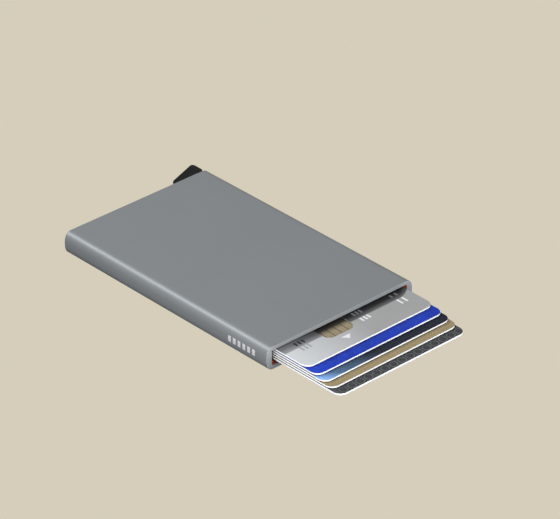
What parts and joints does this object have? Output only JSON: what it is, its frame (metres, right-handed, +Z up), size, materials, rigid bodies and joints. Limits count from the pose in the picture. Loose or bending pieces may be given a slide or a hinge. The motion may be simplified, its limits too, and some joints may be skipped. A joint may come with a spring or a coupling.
{
  "type": "card wallet",
  "caption": "Slim rectangular metal card case, open at one end, with plastic cards fanned out and a corner lever that pushes them out in steps.",
  "frame": {"origin": "centre of the case's flat underside", "axes": "+Z up through the case's thickness, -Y out of the mouth that the cards leave by, +Y towards the rear end, +X towards the side that the lever is on"},
  "size_m": [0.062, 0.1326, 0.0081],
  "materials": {
    "case": "satin bead-blasted grey anodising",
    "lever_plastic": "fine matt moulded black",
    "cap_plastic": "fine matt moulded black",
    "pin": "ground",
    "spring": "drawn wire",
    "strip": "matt red-brown",
    "card_silver": "silver print, white core at the edges",
    "card_blue": "blue print, white core at the edges",
    "card_navy": "pale blue to navy print, white core at the edges",
    "card_khaki": "khaki gold print, white core at the edges",
    "card_charcoal": "charcoal print, white core at the edges",
    "chip": "pale gold contact plate"
  },
  "bodies": {
    "case": {"case_sleeve": "case", "end_cap": "cap_plastic", "pivot_pin": "pin", "return_spring": "spring", "strip_left": "strip", "strip_right": "strip"},
    "lever": {"eject_lever": "lever_plastic"},
    "card_1": {"card_1": "card_silver", "card_1_chip": "chip"},
    "card_2": {"card_2": "card_blue"},
    "card_3": {"card_3": "card_navy"},
    "card_4": {"card_4": "card_khaki"},
    "card_5": {"card_5": "card_charcoal"}
  },
  "joints": [
    {"name": "lever_press", "type": "hinge", "parent": "case", "child": "lever", "pos_m": [0.025, 0.0446, 0.0043], "axis": [0, 0, 1], "range_deg": [0, 38], "stiffness_Nm_per_rad": 0.02, "springref_deg": -20.05, "deforming": ["return_spring"]},
    {"name": "card_1_slide", "type": "slide", "parent": "case", "child": "card_1", "axis": [0, -1, 0], "range_m": [-0.01465, 0.06675]},
    {"name": "card_2_slide", "type": "slide", "parent": "case", "child": "card_2", "axis": [0, -1, 0], "range_m": [-0.019, 0.0624]},
    {"name": "card_3_slide", "type": "slide", "parent": "case", "child": "card_3", "axis": [0, -1, 0], "range_m": [-0.0224, 0.059]},
    {"name": "card_4_slide", "type": "slide", "parent": "case", "child": "card_4", "axis": [0, -1, 0], "range_m": [-0.02545, 0.05595]},
    {"name": "card_5_slide", "type": "slide", "parent": "case", "child": "card_5", "axis": [0, -1, 0], "range_m": [-0.029, 0.0524]}
  ]
}
